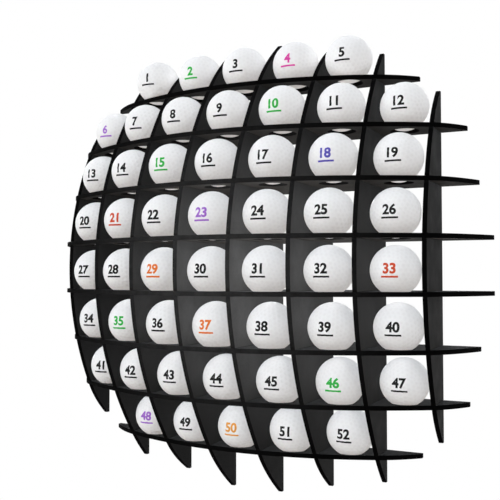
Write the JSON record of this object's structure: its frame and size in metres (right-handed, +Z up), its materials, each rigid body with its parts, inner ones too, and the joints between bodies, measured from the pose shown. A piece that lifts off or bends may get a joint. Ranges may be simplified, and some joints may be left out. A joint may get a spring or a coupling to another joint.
{
  "type": "golf ball display case",
  "caption": "Wall-hung golf ball display case: a dome-fronted lattice of halved black shelves and ribs, with a round seat for a ball in each cell.",
  "frame": {"origin": "middle of the plane of the straight back edges, which lies on the wall", "axes": "+X to the right as seen from the front, +Y into the wall, +Z up; the domed front faces -Y"},
  "size_m": [0.448, 0.1166, 0.4306],
  "materials": {
    "slat": "satin black paint on thin fibreboard, edges black",
    "ball": "white glossy dimpled golf ball cover"
  },
  "bodies": {
    "rack": {"shelf_1": "slat", "shelf_2": "slat", "shelf_3": "slat", "shelf_4": "slat", "shelf_5": "slat", "shelf_6": "slat", "shelf_7": "slat", "shelf_8": "slat", "rib_1": "slat", "rib_2": "slat", "rib_3": "slat", "rib_4": "slat", "rib_5": "slat", "rib_6": "slat", "rib_7": "slat", "rib_8": "slat"},
    "ball_1_2": {"ball_1_2": "ball"},
    "ball_1_3": {"ball_1_3": "ball"},
    "ball_1_4": {"ball_1_4": "ball"},
    "ball_1_5": {"ball_1_5": "ball"},
    "ball_2_2": {"ball_2_2": "ball"},
    "ball_2_3": {"ball_2_3": "ball"},
    "ball_2_4": {"ball_2_4": "ball"},
    "ball_2_5": {"ball_2_5": "ball"},
    "ball_2_6": {"ball_2_6": "ball"},
    "ball_2_7": {"ball_2_7": "ball"},
    "ball_3_2": {"ball_3_2": "ball"},
    "ball_3_3": {"ball_3_3": "ball"},
    "ball_3_4": {"ball_3_4": "ball"},
    "ball_3_5": {"ball_3_5": "ball"},
    "ball_3_6": {"ball_3_6": "ball"},
    "ball_3_7": {"ball_3_7": "ball"},
    "ball_4_2": {"ball_4_2": "ball"},
    "ball_4_3": {"ball_4_3": "ball"},
    "ball_4_4": {"ball_4_4": "ball"},
    "ball_4_5": {"ball_4_5": "ball"},
    "ball_4_6": {"ball_4_6": "ball"},
    "ball_4_7": {"ball_4_7": "ball"},
    "ball_5_2": {"ball_5_2": "ball"},
    "ball_5_3": {"ball_5_3": "ball"},
    "ball_5_4": {"ball_5_4": "ball"},
    "ball_5_5": {"ball_5_5": "ball"},
    "ball_5_6": {"ball_5_6": "ball"},
    "ball_5_7": {"ball_5_7": "ball"},
    "ball_6_2": {"ball_6_2": "ball"},
    "ball_6_3": {"ball_6_3": "ball"},
    "ball_6_4": {"ball_6_4": "ball"},
    "ball_6_5": {"ball_6_5": "ball"},
    "ball_6_6": {"ball_6_6": "ball"},
    "ball_6_7": {"ball_6_7": "ball"},
    "ball_7_2": {"ball_7_2": "ball"},
    "ball_7_3": {"ball_7_3": "ball"},
    "ball_7_4": {"ball_7_4": "ball"},
    "ball_7_5": {"ball_7_5": "ball"},
    "ball_7_6": {"ball_7_6": "ball"},
    "ball_7_7": {"ball_7_7": "ball"},
    "ball_8_2": {"ball_8_2": "ball"},
    "ball_8_3": {"ball_8_3": "ball"},
    "ball_8_4": {"ball_8_4": "ball"},
    "ball_8_5": {"ball_8_5": "ball"}
  },
  "joints": [
    {"name": "lift_ball_1_2", "type": "slide", "parent": "rack", "child": "ball_1_2", "axis": [0, 0, 1], "range_m": [0, 0.053]},
    {"name": "lift_ball_1_3", "type": "slide", "parent": "rack", "child": "ball_1_3", "axis": [0, 0, 1], "range_m": [0, 0.053]},
    {"name": "lift_ball_1_4", "type": "slide", "parent": "rack", "child": "ball_1_4", "axis": [0, 0, 1], "range_m": [0, 0.053]},
    {"name": "lift_ball_1_5", "type": "slide", "parent": "rack", "child": "ball_1_5", "axis": [0, 0, 1], "range_m": [0, 0.053]},
    {"name": "lift_ball_2_2", "type": "slide", "parent": "rack", "child": "ball_2_2", "axis": [0, 0, 1], "range_m": [0, 0.0047]},
    {"name": "lift_ball_2_3", "type": "slide", "parent": "rack", "child": "ball_2_3", "axis": [0, 0, 1], "range_m": [0, 0.0047]},
    {"name": "lift_ball_2_4", "type": "slide", "parent": "rack", "child": "ball_2_4", "axis": [0, 0, 1], "range_m": [0, 0.0047]},
    {"name": "lift_ball_2_5", "type": "slide", "parent": "rack", "child": "ball_2_5", "axis": [0, 0, 1], "range_m": [0, 0.0047]},
    {"name": "lift_ball_2_6", "type": "slide", "parent": "rack", "child": "ball_2_6", "axis": [0, 0, 1], "range_m": [0, 0.0047]},
    {"name": "lift_ball_2_7", "type": "slide", "parent": "rack", "child": "ball_2_7", "axis": [0, 0, 1], "range_m": [0, 0.0047]},
    {"name": "lift_ball_3_2", "type": "slide", "parent": "rack", "child": "ball_3_2", "axis": [0, 0, 1], "range_m": [0, 0.0047]},
    {"name": "lift_ball_3_3", "type": "slide", "parent": "rack", "child": "ball_3_3", "axis": [0, 0, 1], "range_m": [0, 0.0047]},
    {"name": "lift_ball_3_4", "type": "slide", "parent": "rack", "child": "ball_3_4", "axis": [0, 0, 1], "range_m": [0, 0.0047]},
    {"name": "lift_ball_3_5", "type": "slide", "parent": "rack", "child": "ball_3_5", "axis": [0, 0, 1], "range_m": [0, 0.0047]},
    {"name": "lift_ball_3_6", "type": "slide", "parent": "rack", "child": "ball_3_6", "axis": [0, 0, 1], "range_m": [0, 0.0047]},
    {"name": "lift_ball_3_7", "type": "slide", "parent": "rack", "child": "ball_3_7", "axis": [0, 0, 1], "range_m": [0, 0.0047]},
    {"name": "lift_ball_4_2", "type": "slide", "parent": "rack", "child": "ball_4_2", "axis": [0, 0, 1], "range_m": [0, 0.0047]},
    {"name": "lift_ball_4_3", "type": "slide", "parent": "rack", "child": "ball_4_3", "axis": [0, 0, 1], "range_m": [0, 0.0047]},
    {"name": "lift_ball_4_4", "type": "slide", "parent": "rack", "child": "ball_4_4", "axis": [0, 0, 1], "range_m": [0, 0.0047]},
    {"name": "lift_ball_4_5", "type": "slide", "parent": "rack", "child": "ball_4_5", "axis": [0, 0, 1], "range_m": [0, 0.0047]},
    {"name": "lift_ball_4_6", "type": "slide", "parent": "rack", "child": "ball_4_6", "axis": [0, 0, 1], "range_m": [0, 0.0047]},
    {"name": "lift_ball_4_7", "type": "slide", "parent": "rack", "child": "ball_4_7", "axis": [0, 0, 1], "range_m": [0, 0.0047]},
    {"name": "lift_ball_5_2", "type": "slide", "parent": "rack", "child": "ball_5_2", "axis": [0, 0, 1], "range_m": [0, 0.0047]},
    {"name": "lift_ball_5_3", "type": "slide", "parent": "rack", "child": "ball_5_3", "axis": [0, 0, 1], "range_m": [0, 0.0047]},
    {"name": "lift_ball_5_4", "type": "slide", "parent": "rack", "child": "ball_5_4", "axis": [0, 0, 1], "range_m": [0, 0.0047]},
    {"name": "lift_ball_5_5", "type": "slide", "parent": "rack", "child": "ball_5_5", "axis": [0, 0, 1], "range_m": [0, 0.0047]},
    {"name": "lift_ball_5_6", "type": "slide", "parent": "rack", "child": "ball_5_6", "axis": [0, 0, 1], "range_m": [0, 0.0047]},
    {"name": "lift_ball_5_7", "type": "slide", "parent": "rack", "child": "ball_5_7", "axis": [0, 0, 1], "range_m": [0, 0.0047]},
    {"name": "lift_ball_6_2", "type": "slide", "parent": "rack", "child": "ball_6_2", "axis": [0, 0, 1], "range_m": [0, 0.0047]},
    {"name": "lift_ball_6_3", "type": "slide", "parent": "rack", "child": "ball_6_3", "axis": [0, 0, 1], "range_m": [0, 0.0047]},
    {"name": "lift_ball_6_4", "type": "slide", "parent": "rack", "child": "ball_6_4", "axis": [0, 0, 1], "range_m": [0, 0.0047]},
    {"name": "lift_ball_6_5", "type": "slide", "parent": "rack", "child": "ball_6_5", "axis": [0, 0, 1], "range_m": [0, 0.0047]},
    {"name": "lift_ball_6_6", "type": "slide", "parent": "rack", "child": "ball_6_6", "axis": [0, 0, 1], "range_m": [0, 0.0047]},
    {"name": "lift_ball_6_7", "type": "slide", "parent": "rack", "child": "ball_6_7", "axis": [0, 0, 1], "range_m": [0, 0.0047]},
    {"name": "lift_ball_7_2", "type": "slide", "parent": "rack", "child": "ball_7_2", "axis": [0, 0, 1], "range_m": [0, 0.0047]},
    {"name": "lift_ball_7_3", "type": "slide", "parent": "rack", "child": "ball_7_3", "axis": [0, 0, 1], "range_m": [0, 0.0047]},
    {"name": "lift_ball_7_4", "type": "slide", "parent": "rack", "child": "ball_7_4", "axis": [0, 0, 1], "range_m": [0, 0.0047]},
    {"name": "lift_ball_7_5", "type": "slide", "parent": "rack", "child": "ball_7_5", "axis": [0, 0, 1], "range_m": [0, 0.0047]},
    {"name": "lift_ball_7_6", "type": "slide", "parent": "rack", "child": "ball_7_6", "axis": [0, 0, 1], "range_m": [0, 0.0047]},
    {"name": "lift_ball_7_7", "type": "slide", "parent": "rack", "child": "ball_7_7", "axis": [0, 0, 1], "range_m": [0, 0.0047]},
    {"name": "lift_ball_8_2", "type": "slide", "parent": "rack", "child": "ball_8_2", "axis": [0, 0, 1], "range_m": [0, 0.0047]},
    {"name": "lift_ball_8_3", "type": "slide", "parent": "rack", "child": "ball_8_3", "axis": [0, 0, 1], "range_m": [0, 0.0047]},
    {"name": "lift_ball_8_4", "type": "slide", "parent": "rack", "child": "ball_8_4", "axis": [0, 0, 1], "range_m": [0, 0.0047]},
    {"name": "lift_ball_8_5", "type": "slide", "parent": "rack", "child": "ball_8_5", "axis": [0, 0, 1], "range_m": [0, 0.0047]}
  ]
}
